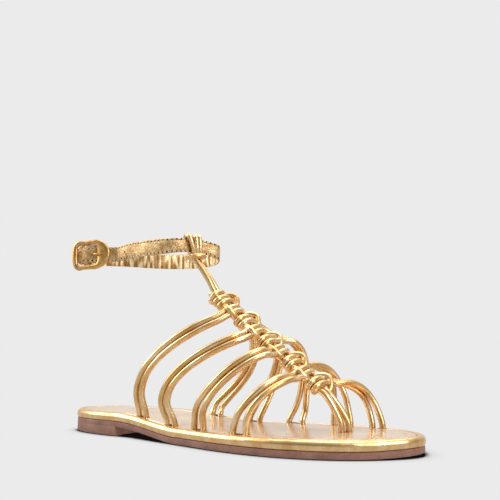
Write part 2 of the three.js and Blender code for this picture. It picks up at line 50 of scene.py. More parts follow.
def hexColour(code):
    parts = [int(code[i:i + 2], 16) / 255 for i in (1, 3, 5)]
    return [*(c / 12.92 if c <= 0.04045 else ((c + 0.055) / 1.055) ** 2.4 for c in parts), 1]


def addNode(tree, kind, settings=None, links=None):
    node = tree.nodes.new("ShaderNode" + kind)
    for name, value in (settings or {}).items():
        if isinstance(name, int) or name in node.inputs:
            node.inputs[name].default_value = value
        else:
            setattr(node, name, value)
    for name, source in (links or {}).items():
        tree.links.new(source, node.inputs[name])
    return node


def colourSteps(tree, factor, steps):
    ramp = addNode(tree, "ValToRGB", links={"Fac": factor})
    while len(ramp.color_ramp.elements) < len(steps):
        ramp.color_ramp.elements.new(0.5)
    for element, (place, colour) in zip(ramp.color_ramp.elements, steps):
        element.position = place
        element.color = hexColour(colour) if isinstance(colour, str) else [colour] * 3 + [1]
    return ramp.outputs["Color"]


def newMaterial(name):
    material = bpy.data.materials.new(name)
    material.use_nodes = True
    tree = material.node_tree
    return tree, addNode(tree, "TexCoord").outputs["Object"], material


def surface(material, settings, colour, rough=None, normal=None):
    shader = material.node_tree.nodes["Principled BSDF"]
    for name, value in settings.items():
        shader.inputs[name].default_value = value
    for name, source in (("Base Color", colour), ("Roughness", rough), ("Normal", normal)):
        if source is not None:
            material.node_tree.links.new(source, shader.inputs[name])
    return material


def attribute(tree, name):
    return addNode(tree, "Attribute", {"attribute_name": name}).outputs["Fac"]


def times(tree, value, factor):
    return addNode(tree, "Math", {"operation": "MULTIPLY", 1: factor}, {0: value}).outputs[0]


def patches(tree, place, size, detail):
    # noise with patches of this size in millimetres
    settings = {"Scale": 1000 / size, "Detail": detail}
    return addNode(tree, "TexNoise", settings, {"Vector": place}).outputs["Fac"]


def cordPatches(tree, alongSize, aroundSize):
    # noise that follows a cord, with patches this long and this wide in millimetres
    parts = [times(tree, attribute(tree, layer), 1 / size)
             for layer, size in (("along", alongSize), ("acrossX", aroundSize), ("acrossY", aroundSize))]
    place = addNode(tree, "CombineXYZ", links=dict(zip("XYZ", parts))).outputs[0]
    return addNode(tree, "TexNoise", {"Scale": 1, "Detail": 1}, {"Vector": place}).outputs["Fac"]


def relief(tree, height, strength, depth, **links):
    # bumps this many metres deep
    settings = {"Strength": strength, "Distance": depth}
    return addNode(tree, "Bump", settings, {"Height": height, **links}).outputs[0]


def blend(tree, first, second, share):
    settings = {"data_type": "FLOAT", 0: share}
    return addNode(tree, "Mix", settings, {2: first, 3: second}).outputs[0]


# Kid leather under gold foil, rolled round a cotton filler. The foil gives broad soft highlights and deep
# amber where cords mirror one another, and it crazes finely across the cord.
def foiledCordLeather():
    look = {"deep": "#CB9A5A", "gold": "#E1BB82", "pale": "#F1D8AF", "streak": (16, 1.8), "craze": (0.8, 2.5),
            "cloudSize": 12}
    tree, place, material = newMaterial("foiledCordLeather")
    streak = cordPatches(tree, *look["streak"])
    craze = cordPatches(tree, *look["craze"])
    cloud = patches(tree, place, look["cloudSize"], 2)
    colour = colourSteps(tree, blend(tree, cloud, streak, 0.5),
                         [(0.34, look["deep"]), (0.5, look["gold"]), (0.66, look["pale"])])
    rough = colourSteps(tree, streak, [(0.35, 0.35), (0.65, 0.25)])
    rubbed = relief(tree, streak, 0.05, 0.0003)
    depth = times(tree, attribute(tree, "bend"), 0.35)
    folds = relief(tree, craze, 1, 0.0004, Strength=depth, Normal=rubbed)
    film = {"Metallic": 0.92, "Coat Weight": 0.15, "Coat Roughness": 0.3}
    return surface(material, film, colour, rough, folds)


# The same foiled kid drawn over the midsole and rolled over its edge: gathers and fine creases.
def foiledRimLeather():
    look = {"deep": "#D6AA6E", "gold": "#E3BC84", "pale": "#EDCB98", "gatherPitch": 5, "upright": 0.45,
            "grainSize": 0.4}
    tree, place, material = newMaterial("foiledRimLeather")
    stretched = addNode(tree, "Mapping", {"Scale": (1, 1, look["upright"])}, {"Vector": place})
    gather = patches(tree, stretched.outputs[0], look["gatherPitch"], 4)
    cells = addNode(tree, "TexVoronoi", {"Scale": 1000 / look["grainSize"]}, {"Vector": place})
    colour = colourSteps(tree, gather, [(0.32, look["deep"]), (0.5, look["gold"]), (0.7, look["pale"])])
    rough = colourSteps(tree, gather, [(0.3, 0.34), (0.7, 0.24)])
    folds = relief(tree, gather, 0.12, 0.0006)
    fine = relief(tree, cells.outputs["Distance"], 0.02, 0.0002, Normal=folds)
    film = {"Metallic": 0.95, "Coat Weight": 0.15, "Coat Roughness": 0.25}
    return surface(material, film, colour, rough, fine)


# Pearl finished calf: a pale pink gold film, pressed smooth, that mirrors the cords standing on it.
def pearledFootbedLeather():
    look = {"shade": "#DDBA93", "pearl": "#EED5B6", "cloudSize": 22, "grainSize": 0.5}
    tree, place, material = newMaterial("pearledFootbedLeather")
    cloud = patches(tree, place, look["cloudSize"], 3)
    grain = patches(tree, place, look["grainSize"], 2)
    colour = colourSteps(tree, cloud, [(0.35, look["shade"]), (0.65, look["pearl"])])
    rough = colourSteps(tree, grain, [(0.35, 0.3), (0.65, 0.22)])
    film = {"Metallic": 0.75, "Coat Weight": 0.25, "Coat Roughness": 0.12}
    return surface(material, film, colour, rough, relief(tree, grain, 0.06, 0.0002))


# Foiled strap leather: paler and more grained than the cords, with a satin sparkle from the grain. Its lining
# is painted with the light and shade of its puckers: a dark crease colour for painted shade and bright cream
# for painted light.
def grainedStrapLeather():
    look = {"deep": "#AC8754", "gold": "#C9A572", "pale": "#E2C797", "lining": "#F6E2B6", "creaseAndShade": "#A0753F",
            "grainSize": 1, "cloudSize": 6}
    tree, place, material = newMaterial("grainedStrapLeather")
    grain = patches(tree, place, look["grainSize"], 3)
    cloud = patches(tree, place, look["cloudSize"], 2)
    face = colourSteps(tree, blend(tree, cloud, grain, 0.55),
                       [(0.4, look["deep"]), (0.5, look["gold"]), (0.6, look["pale"])])
    # painted shade and light on the lining: the crease colour where its gather value is low, bright cream
    # where it is high
    lining = colourSteps(tree, attribute(tree, "gather"),
                         [(0.2, look["creaseAndShade"]), (0.45, look["gold"]), (0.75, look["lining"])])
    colour = addNode(tree, "Mix", {"data_type": "RGBA"},
                     {0: attribute(tree, "lining"), 6: face, 7: lining}).outputs[2]
    rough = colourSteps(tree, grain, [(0.35, 0.62), (0.65, 0.48)])
    return surface(material, {"Metallic": 0.75}, colour, rough, relief(tree, grain, 0.6, 0.0004))


# Moulded rubber, dyed brown and buffed on its edge: matte, with a fine tooth.
def buffedSoleRubber():
    look = {"dark": "#7A5444", "brown": "#8E6352", "light": "#A07461", "toothSize": 0.7, "cloudSize": 9}
    tree, place, material = newMaterial("buffedSoleRubber")
    tooth = patches(tree, place, look["toothSize"], 4)
    cloud = patches(tree, place, look["cloudSize"], 3)
    colour = colourSteps(tree, blend(tree, cloud, tooth, 0.4),
                         [(0.35, look["dark"]), (0.5, look["brown"]), (0.68, look["light"])])
    rough = colourSteps(tree, tooth, [(0.3, 0.72), (0.7, 0.58)])
    return surface(material, {}, colour, rough, relief(tree, tooth, 0.25, 0.0002))


# Die-cast zinc plated in satin gold: smooth, with soft unevenness left by hand polishing.
def satinGoldPlate():
    look = {"deep": "#B98848", "gold": "#D9AD6C", "polishSize": 3.5, "hairSize": 0.3}
    tree, place, material = newMaterial("satinGoldPlate")
    polish = patches(tree, place, look["polishSize"], 2)
    hairs = patches(tree, place, look["hairSize"], 2)
    colour = colourSteps(tree, polish, [(0.3, look["deep"]), (0.65, look["gold"])])
    rough = colourSteps(tree, hairs, [(0.3, 0.42), (0.7, 0.32)])
    return surface(material, {"Metallic": 1}, colour, rough, relief(tree, polish, 0.12, 0.0004))


# Waxed polyester thread: pale gold, with the twist of its plies, and painted shade in the grooves between the
# plies and painted light on their crowns.
def waxedThread():
    look = {"shade": "#C9AE7C", "light": "#F0DFB8", "plyPitch": 0.4, "plyAngle": 35}
    bandsPerUnit = 6.3  # the wave texture's bands in one unit at scale 1
    tree, place, material = newMaterial("waxedThread")
    turned = addNode(tree, "Mapping", {"Rotation": (0, radians(look["plyAngle"]), 0)},
                     {"Vector": place}).outputs[0]
    plies = addNode(tree, "TexWave", {"Scale": 1000 / look["plyPitch"] / bandsPerUnit},
                    {"Vector": turned}).outputs["Fac"]
    # painted shade and light, following the plies' relief
    colour = colourSteps(tree, plies, [(0.2, look["shade"]), (0.7, look["light"])])
    twist = relief(tree, plies, 0.4, 0.0001)
    return surface(material, {"Roughness": 0.5, "Metallic": 0.2}, colour, normal=twist)


# Painted shade of a needle hole: a dark brown disc, fibrous in its tone.
def holeShade():
    look = {"dark": "#24150A", "fibre": "#472D17", "fibreSize": 0.4}
    tree, place, material = newMaterial("holeShade")
    fibre = patches(tree, place, look["fibreSize"], 2)
    colour = colourSteps(tree, fibre, [(0.3, look["dark"]), (0.7, look["fibre"])])
    return surface(material, {"Roughness": 0.9}, colour)


cordLook, rimLook, footbedLook = foiledCordLeather(), foiledRimLeather(), pearledFootbedLeather()
strapLook, rubberLook, plateLook = grainedStrapLeather(), buffedSoleRubber(), satinGoldPlate()
threadLook, holeShadeLook = waxedThread(), holeShade()
print("materials made")


# Working parts

def lerp(a, b, share):
    return a + (b - a) * share


def clamp(value, low=0, high=1):
    return min(high, max(low, value))


def curvePoint(points, share, closed=False):
    # a smooth centripetal curve through the points
    count = len(points)
    place = (share % 1) * count if closed else share * (count - 1)
    index = int(place) if closed else min(int(place), count - 2)
    part = place - index

    def at(i):
        if closed:
            return points[i % count]
        if i < 0:
            return 2 * points[0] - points[1]
        return points[i] if i < count else 2 * points[-1] - points[-2]

    p0, p1, p2, p3 = (at(index + i) for i in (-1, 0, 1, 2))
    d0, d1, d2 = (sqrt((b - a).length) or 1 for a, b in ((p0, p1), (p1, p2), (p2, p3)))
    m1 = ((p1 - p0) / d0 - (p2 - p0) / (d0 + d1) + (p2 - p1) / d1) * d1
    m2 = ((p2 - p1) / d1 - (p3 - p1) / (d1 + d2) + (p3 - p2) / d2) * d1
    return p1 + part * (m1 + part * (3 * (p2 - p1) - 2 * m1 - m2 + part * (2 * (p1 - p2) + m1 + m2)))


def evenPoints(points, spacing=None, steps=None, fine=20):
    # points along the smooth curve, at equal distances
    parts = fine * (len(points) - 1)
    samples = [curvePoint(points, i / parts) for i in range(parts + 1)]
    reach = [0]
    for a, b in zip(samples, samples[1:]):
        reach.append(reach[-1] + (b - a).length)
    steps = steps or max(4, round(reach[-1] / spacing))
    found, index = [], 0
    for i in range(steps + 1):
        goal = reach[-1] * i / steps
        while index < len(reach) - 2 and reach[index + 1] < goal:
            index += 1
        span = reach[index + 1] - reach[index] or 1
        found.append(samples[index].lerp(samples[index + 1], (goal - reach[index]) / span))
    return found, reach[-1]


def newObject(bm, name):
    mesh = bpy.data.meshes.new(name)
    bm.to_mesh(mesh)
    bm.free()
    made = bpy.data.objects.new(name, mesh)
    bpy.context.scene.collection.objects.link(made)
    return made


def placedObject(bm, name):
    bmesh.ops.recalc_face_normals(bm, faces=bm.faces)
    bmesh.ops.transform(bm, matrix=toFrame, verts=bm.verts)
    return newObject(bm, name)


def addPiece(bm, name, material, nodes=(), sharp=40, cut=None):
    piece = placedObject(bm, name)
    piece.data.materials.append(material)
    if cut:
        cutAway(piece, cut)
    piece.data.shade_smooth()
    piece.data.set_sharp_from_angle(angle=radians(sharp))
    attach(piece, "root")
    if nodes:
        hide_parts(*nodes)
    print("made", name, len(piece.data.polygons), "faces")


def cutAway(piece, cutter):
    modifier = piece.modifiers.new("cut", "BOOLEAN")
    modifier.object = cutter
    modifier.operation = "DIFFERENCE"
    modifier.solver = "EXACT"
    view = bpy.context.evaluated_depsgraph_get()
    result = bpy.data.meshes.new_from_object(piece.evaluated_get(view), depsgraph=view)
    piece.modifiers.clear()
    piece.data = result


def placedCutter(bm, name):
    cutter = placedObject(bm, name)
    bpy.context.view_layer.update()
    return cutter


def extrudeEdges(bm, edges):
    grown = bmesh.ops.extrude_edge_only(bm, edges=edges)["geom"]
    return [[g for g in grown if isinstance(g, kind)] for kind in (bmesh.types.BMVert, bmesh.types.BMEdge)]


# Sole: outline and heights

sole = {
    "length": 250, "heelWidth": 55, "ballWidth": 87, "outsole": 3.7, "heelRise": 9, "rim": 5.3,
    "deckDepth": 1.5, "rimWidth": 4.7, "footbed": 1.2, "toeSpring": 1.3, "heelLength": 57, "gap": 0.3,
    # the slope from the heel to the ball as shares of the length, its easing and its skew
    "slope": (0.28, 0.496), "slopeEase": 0.4, "slopeSkew": 0.4, "springStart": 0.9,
    # along, lateral and medial half widths as shares: of the heel width up to 0.3, of the ball width after it
    "outline": [
        (0, 0, 0), (0.015, 0.193, 0.193), (0.05, 0.358, 0.358), (0.12, 0.471, 0.471), (0.2, 0.5, 0.489),
        (0.3, 0.524, 0.462), (0.4, 0.382, 0.292), (0.5, 0.437, 0.332), (0.6, 0.49, 0.417),
        (0.7, 0.503, 0.484), (0.78, 0.474, 0.508), (0.86, 0.394, 0.489), (0.92, 0.28, 0.42),
        (0.965, 0.148, 0.302), (0.99, 0.046, 0.18), (1, -0.066, 0.066)],
}
edgeRows = [(along, -lateral * width, medial * width) for along, lateral, medial in sole["outline"]
            for width in [sole["heelWidth"] if along <= 0.3 else sole["ballWidth"]]]
edgePoints = [Vector((along * sole["length"], medial, 0)) for along, _, medial in edgeRows]
edgePoints += [Vector((along * sole["length"], lateral, 0)) for along, lateral, _ in edgeRows[-2:0:-1]]


def edgeAt(x, side):
    share = x / sole["length"]
    for before, after in zip(edgeRows, edgeRows[1:]):
        if after[0] > share:
            column = 1 if side < 0 else 2
            return lerp(before[column], after[column], (share - before[0]) / (after[0] - before[0]))


def outlinePlace(turn, inset):
    before, place, after = (curvePoint(edgePoints, turn + step, True) for step in (-0.002, 0, 0.002))
    ahead = (after - before).normalized()
    return place + inset * Vector((ahead.y, -ahead.x, 0))


def seamHeight(x, y):
    start, end = sole["slope"]
    part = clamp(((x - sole["slopeSkew"] * y) / sole["length"] - start) / (end - start))
    down = 1 - lerp(part, part * part * (3 - 2 * part), sole["slopeEase"])
    spring = clamp((x / sole["length"] - sole["springStart"]) / (1 - sole["springStart"]))
    return sole["outsole"] + (sole["heelRise"] - sole["outsole"]) * down + sole["toeSpring"] * spring ** 2


def deckHeight(x, y):
    return seamHeight(x, y) + sole["gap"] + sole["rim"] - sole["deckDepth"]


def footbedTop(x, y):
    return deckHeight(x, y) + sole["gap"] + sole["footbed"]


def shellRows(height, rows):
    # each row's distance in from the outline, and its lift above a height
    return [(inset, lambda x, y, lift=lift: height(x, y) + lift) for inset, lift in rows]


def soleShell(rows, steps=120, columns=18):
    # a shell over the sole's plan, from its top face out over the edge to its underside
    bm = bmesh.new()
    turn = bm.verts.layers.float.new("turn")

    def addFace(inset, height):
        for v in bmesh.ops.create_grid(bm, x_segments=steps, y_segments=columns, size=1)["verts"]:
            half, share = (v.co.x + 1) / 4, (v.co.y + 1) / 2
            v[turn] = half if share > 0.5 else 1 - half
            place = outlinePlace(1 - half, inset).lerp(outlinePlace(half, inset), share)
            v.co = (place.x, place.y, height(place.x, place.y))
        bmesh.ops.remove_doubles(bm, verts=bm.verts, dist=1e-4)

    addFace(*rows[0])
    edges = [e for e in bm.edges if e.is_boundary]
    for inset, height in rows[1:]:
        made, edges = extrudeEdges(bm, edges)
        for v in made:
            place = outlinePlace(v[turn], inset)
            v.co = (place.x, place.y, height(place.x, place.y))
    addFace(*rows[-1])
    return bm


# Braid and straps: the routes of the cords

cord = {
    "width": 3.8, "sides": 14, "spacing": 0.75, "strapInset": 6, "pairGap": 1.04, "standing": 3.2,
    "rooted": 0.1, "buried": 0.6,  # the foot lies this far in the deck, and the cord's end this far below it
    # wrinkles on the inside of a bend, the bend at which they start, and a slow unevenness of the filler
    "wrinklePitch": 1.7, "wrinkleDepth": 0.11, "bendGain": 2.2, "bendStart": 0.25, "swellPitch": 9,
    "swell": 0.02, "seamDepth": 0.04, "seamSharpness": 7,
    # the rounded end: share of the radius, and how far in it lies as a share of the width
    "end": [(0.35, 0.3), (0.75, 0.09)],
}
# side, place along the sole, braid station, spread at the foot in widths, and the bow's foot and top handles,
# each with its lean, flare and lift as shares of the bow's rise
straps = [
    (-1, 0.309, 1, 1.5, (-0.13, 0.2, 0.54), (-0.11, 0.32, -0.12)),
    (-1, 0.421, 3, 1.6, (-0.33, 0.22, 0.55), (0.17, 0.41, 0)),
    (-1, 0.523, 5, 1.7, (-0.02, 0.23, 0.54), (0.42, 0.6, 0.28)),
    (-1, 0.649, 7, 2.3, (0.14, 0.22, 0.63), (0.34, 0.96, 0.15)),
    (1, 0.416, 0, 1.7, (-0.17, 0.15, 0.12), (0.53, 0.25, -0.53)),
    (1, 0.526, 2, 2, (0.14, 0.18, 0.47), (0.39, 0.3, -0.24)),
    (1, 0.632, 4, 2.5, (0.06, 0.19, 0.24), (0.4, 0.34, 0.2)),
    (1, 0.751, 6, 3, (-0.12, 0.2, 1.0), (0.2, 0.46, -0.1)),
    (1, 0.845, 8, 1.7, (-0.25, 0.2, 0.84), (0.48, 0.7, 0.1)),
]
braid = {
    "line": [(0.489, 0.008, 84.8), (0.605, 0.024, 61.37), (0.752, 0.045, 34.2)],
    "stations": 8, "roll": 12, "coreSpread": 0.5,
    # aside and out, in cord widths, and for the loops how far along in stations
    "crossing": [(1.1, 0.78), (0, 0.98), (-1.1, 0.74), (-1.5, 0.05), (-0.95, -0.42)],
    "medialLoop": [(-0.62, 1.2, -0.2), (-0.46, 2, 0.55), (0, 2.65, 1.05), (0.46, 2, 0.55), (0.62, 1.2, -0.2)],
    "lateralLoop": [(-0.6, 0.8, -0.1), (-0.44, 1.45, 0.8), (0, 1.9, 1.15), (0.44, 1.45, 0.8),
                    (0.6, 0.8, -0.1)],
    "knotRing": [(1.15, 0.1), (0.85, 0.8), (0, 1), (-0.95, 0.85), (-1.45, 0), (-0.95, -0.8), (0, -0.92),
                 (0.85, -0.8), (1.15, -0.15)],
    "knotEnd": [(-0.7, 0.3, 0.7), (-0.8, 0.75, 0.55), (-0.86, 1.1, 0.3)], "knotStation": -0.66,
    # the post between the toes: its place in the sole, and its cords' steps from there
    "post": (0.818, 0.072), "postStep": (0.3, 0.027),
}
tableSteps = 200
braidTable, braidLength = evenPoints(
    [Vector((along * sole["length"], aside * sole["ballWidth"], z)) for along, aside, z in braid["line"]],
    steps=tableSteps, fine=100)


def braidAxes(station):
    share = clamp(station / braid["stations"])
    index = min(tableSteps - 1, int(share * tableSteps))
    middle = braidTable[index].lerp(braidTable[index + 1], share * tableSteps - index)
    ahead = (braidTable[index + 1] - braidTable[max(0, index - 1)]).normalized()
    middle += ahead * (station - share * braid["stations"]) * braidLength / braid["stations"]
    across = (Vector((0, 1, 0)) - ahead * ahead.y).normalized()
    out = ahead.cross(across)
    out *= 1 if out.z > 0 else -1
    roll = radians(braid["roll"])
    return middle, ahead, across * cos(roll) + out * sin(roll), out * cos(roll) - across * sin(roll)


def braidPlace(station, side, aside, out, ahead=0):
    middle, aheadWay, acrossWay, outWay = braidAxes(station)
    return middle + (acrossWay * side * aside + outWay * out + aheadWay * ahead) * cord["width"]


def strapFoot(side, land):
    x = land * sole["length"]
    y = edgeAt(x, side) - side * cord["strapInset"]
    return Vector((x, y, deckHeight(x, y) - cord["rooted"]))


def bezierPoint(a, b, c, d, t):
    return a * (1 - t) ** 3 + 3 * b * t * (1 - t) ** 2 + 3 * c * t * t * (1 - t) + d * t ** 3


def strapRoute(strap, twin):
    side, land, station, spread, footHandle, topHandle = strap
    width = cord["width"]
    foot = strapFoot(side, land)
    leave = foot + upwards * cord["standing"]
    arrive = braidPlace(station, side, 2, 0)
    rise = arrive.z - leave.z
    bow = [leave, leave + Vector((footHandle[0], side * footHandle[1], footHandle[2])) * rise,
           arrive + Vector((topHandle[0], side * topHandle[1], topHandle[2])) * rise, arrive]
    braidAhead = braidAxes(station)[1]
    footStep = Vector((twin * spread * width, 0, 0))
    route = [foot + footStep - upwards * cord["buried"], leave + footStep]
    for t in (0.14, 0.28, 0.42, 0.56, 0.7, 0.82, 0.92):
        tangent = (bezierPoint(*bow, t + 0.01) - bezierPoint(*bow, t - 0.01)).normalized()
        beside = Vector((tangent.z, 0, -tangent.x)).normalized().lerp(braidAhead, t * t).normalized()
        apart = lerp(spread, cord["pairGap"], min(1, t * 3)) * width
        route.append(bezierPoint(*bow, t) + beside * twin * apart)
    for aside, out in braid["crossing"]:
        route.append(braidPlace(station, side, aside, out, twin * cord["pairGap"]))
    return route


# Ankle strap: its plan from the fold at the buckle round the heel to the tail

ankle = {
    "length": 106, "width": 48, "height": 122.5, "band": 10.5, "thickness": 1.6, "tiePlace": 0.745,
    "loop": [
        # along, aside and lift, as shares of the length, the width and the band
        (-0.482, -0.41, -0.02), (-0.496, -0.25, 0), (-0.468, -0.04, 0.06), (-0.4, 0.17, 0.1),
        (-0.29, 0.36, 0.05), (-0.14, 0.47, -0.1), (0.08, 0.5, -0.28), (0.29, 0.47, -0.36), (0.43, 0.38, -0.3),
        (0.495, 0.22, -0.14), (0.455, 0.05, 0.06), (0.41, -0.1, 0.14), (0.37, -0.27, 0.12),
        (0.31, -0.39, 0.04), (0.17, -0.44, 0), (-0.01, -0.4, 0)],
    "ahead": 0.283, "buckle": (-0.312, -0.47, -0.1), "buckleAngle": 18,
}


def anklePlace(along, aside, lift):
    return Vector((heelCentre + (ankle["ahead"] + along) * ankle["length"], aside * ankle["width"],
                   ankle["height"] + lift * ankle["band"]))


ankleLoop = [anklePlace(*row) for row in ankle["loop"]]
tie = {
    # how far round from the tie's middle each turn lies at its top and its foot, and how far out it stands
    "turns": [(-3.1, 1.6, 0.7), (2.4, 4, 0.2), (5.4, 6.2, 0)],
    "radius": 1.55, "slackUp": 0.2, "slackOut": 0.35,
    # out and up round one turn, as shares of its depth and height
    "corners": [(-0.1, -1.06), (0.5, -1.04), (0.98, -0.76), (1.1, 0), (0.98, 0.76), (0.5, 1.04), (-0.5, 1.04),
                (-0.98, 0.76), (-1.1, 0), (-0.98, -0.76), (-0.5, -1.04), (0.2, -1.06)],
    "pinch": 0.84, "pinchShift": 2.2, "pinchLength": 14,  # the band gathered in the tie
    "instepShift": 2.45, "instepGap": 1.04, "instepPair": Vector((-0.3, 0.954, 0)), "instepDrop": 0.72,
    "binding": {"along": 5.35, "out": 3.4, "drop": 0.1, "shift": 3.6, "tilt": 0.27, "ahead": 1.2},
}
tieSpan = [curvePoint(ankleLoop, ankle["tiePlace"] + step) for step in (0, 0.001)]
tiePace = (tieSpan[1] - tieSpan[0]).length / 0.001


def tieFrame(shift):
    # middle of the band, its way round and its way out, so many millimetres round from the tie
    place = ankle["tiePlace"] - shift / tiePace
    ahead = (curvePoint(ankleLoop, place + 0.001) - curvePoint(ankleLoop, place)).normalized()
    out = Vector((abs(ahead.y), -abs(ahead.x), 0)).normalized()
    return curvePoint(ankleLoop, place), Vector((-out.y, out.x, 0)), out


def postFoot(twin):
    (along, aside), (stepAlong, stepAside) = braid["post"], braid["postStep"]
    x = along * sole["length"] + twin * stepAlong * cord["width"]
    y = (aside + twin * stepAside) * sole["ballWidth"]
    return Vector((x, y, deckHeight(x, y) - cord["rooted"]))


def coreRoute(twin):
    middle, _, out = tieFrame(tie["instepShift"])
    start = middle + (tie["instepPair"] * twin * 0.5 * tie["instepGap"] + out * 0.35) * cord["width"]
    start.z -= ankle["band"] / 2 + tie["instepDrop"] + cord["width"] / 2
    spread = twin * braid["coreSpread"]
    top, foot = braidPlace(0, 1, spread, 0), postFoot(twin)
    route = [start, start.lerp(top, 0.45) + Vector((1.8, 0, -1))]
    route += [braidPlace(station, 1, spread, 0) for station in range(0, braid["stations"] + 1, 2)]
    route += [braidPlace(braid["stations"] + 0.8, 1, spread, 0.1), foot + Vector((-0.6, 0, 7)),
              foot + upwards * cord["standing"], foot - upwards * cord["buried"]]
    return route


def tieRoute(top, foot, lift):
    # one turn of cord round the band
    tall = ankle["band"] / 2 * tie["pinch"] + tie["slackUp"] + tie["radius"]
    deep = ankle["thickness"] / 2 + tie["slackOut"] + tie["radius"] + lift
    route = []
    for outShare, up in tie["corners"]:
        middle, _, out = tieFrame(lerp(foot, top, up / 2 + 0.5))
        route.append(middle + out * outShare * deep + upwards * up * tall)
    return route


def sweepCord(bm, layers, route, number, radius=None, start=None, wrinkled=1):
    # a round cord along a route, its inner side wrinkled where it bends, with a sewn seam along one side
    radius = radius or cord["width"] / 2
    places, length = evenPoints(route, spacing=cord["spacing"])
    count = len(places)
    ahead = [(places[min(count - 1, i + 1)] - places[max(0, i - 1)]).normalized() for i in range(count)]
    side = (start or ahead[0].orthogonal()).normalized()
    side = (side - ahead[0] * side.dot(ahead[0])).normalized()
    stations = [(0, size, -inset * radius * 2) for size, inset in cord["end"]]
    stations += [(i, 1, 0) for i in range(count)]
    stations += [(count - 1, size, inset * radius * 2) for size, inset in cord["end"][::-1]]
    ring = None
    for i, size, push in stations:
        side = (side - ahead[i] * side.dot(ahead[i])).normalized()
        other = ahead[i].cross(side)
        near, far = max(0, i - 2), min(count - 1, i + 2)
        turnWay = (ahead[far] - ahead[near]) / max(1e-6, (places[far] - places[near]).length)
        along = length * i / (count - 1)
        if ring is None:
            made = bmesh.ops.create_circle(bm, segments=cord["sides"], radius=1, cap_ends=True)["verts"]
            for j, v in enumerate(made):
                v[layers["girth"]] = j / cord["sides"]
            ring = [e for e in bm.edges if all(v in made for v in e.verts)]
        else:
            made, ring = extrudeEdges(bm, ring)
        bent = clamp(turnWay.length * radius * cord["bendGain"] - cord["bendStart"])
        for v in made:
            angle = 2 * pi * v[layers["girth"]]
            way = side * cos(angle) + other * sin(angle)
            inner = clamp(way.dot(turnWay.normalized()) + 0.15) if turnWay.length > 1e-5 else 0
            place = Vector((along / cord["wrinklePitch"], way.x * 0.7 + number * 5, way.z * 0.7))
            swell = cord["swell"] * noise.noise(Vector((along / cord["swellPitch"], number * 3.1, angle / 4)))
            fold = wrinkled * cord["wrinkleDepth"] * inner * bent * abs(noise.noise(place))
            seam = cord["seamDepth"] * clamp(1 - abs((angle / pi) % 2 - 1) * cord["seamSharpness"])
            v.co = places[i] + ahead[i] * push + way * size * radius * (1 + swell - fold - seam)
            v[layers["along"]] = along + number * 40
            v[layers["acrossX"]], v[layers["acrossY"]] = radius * cos(angle), radius * sin(angle)
            v[layers["bend"]] = inner * bent
    bmesh.ops.edgeloop_fill(bm, edges=ring)


def cordSet(routes, name, material=cordLook, radius=None, firstNumber=0, nodes=(),
            starts=None, wrinkled=1):
    whole = bmesh.new()
    for index, route in enumerate(routes):
        bm = bmesh.new()
        layers = {key: bm.verts.layers.float.new(key)
                  for key in ("along", "girth", "acrossX", "acrossY", "bend")}
        sweepCord(bm, layers, route, firstNumber + index, radius, starts[index] if starts else None, wrinkled)
        part = bpy.data.meshes.new("part")
        bm.to_mesh(part)
        bm.free()
        whole.from_mesh(part)
        bpy.data.meshes.remove(part)
    addPiece(whole, name, material, nodes, sharp=80)


def bindingRoute():
    # a short cord bound flat round the instep cords, right under the band
    wrap = tie["binding"]
    middle, bandWise, out = tieFrame(wrap["shift"])
    middle += out * wrap["ahead"] - upwards * (ankle["band"] / 2 + cord["width"] / 2 + wrap["drop"])
    wide, deep = bandWise * wrap["along"] + upwards * wrap["tilt"], out * wrap["out"]
    return [middle + wide * cos(a) + deep * sin(a) for a in (radians(130 + 36 * k) for k in range(11))]


strapRoutes = [strapRoute(strap, twin) for strap in straps for twin in (-0.5, 0.5)]
loopRoutes = [[braidPlace(station + step, side, aside, out) for step, aside, out in braid[loop]]
              for station in range(braid["stations"] + 1)
              for side, loop in [(1, "medialLoop") if station % 2 == 0 else (-1, "lateralLoop")]]
coreRoutes = [coreRoute(-1), coreRoute(1)]
tieRoutes = [tieRoute(*turn) for turn in tie["turns"]]
knotRoute = [braidPlace(braid["knotStation"], -1, aside, out) for aside, out in braid["knotRing"]]
knotEnd = [braidPlace(station, -1, aside, out) for station, aside, out in braid["knotEnd"]]
outward = [Vector((0, strap[0], 0)) for strap in straps for twin in (-0.5, 0.5)]  # the side of each seam
cordSet(strapRoutes, "strapCords", nodes=["upper"], starts=outward)
cordSet(loopRoutes, "sideLoopCords", firstNumber=20)
cordSet(coreRoutes, "instepCords", firstNumber=40)
cordSet(tieRoutes, "tieTurns", firstNumber=44, radius=tie["radius"], wrinkled=0.3)
cordSet([bindingRoute()], "tieBinding", firstNumber=47, wrinkled=0.3)
cordSet([knotRoute], "topKnotRing", firstNumber=50, wrinkled=0.3)
cordSet([knotEnd], "topKnotEnd", firstNumber=52, radius=2.1, wrinkled=0.3)


# Slots in the sole for the pairs of cords

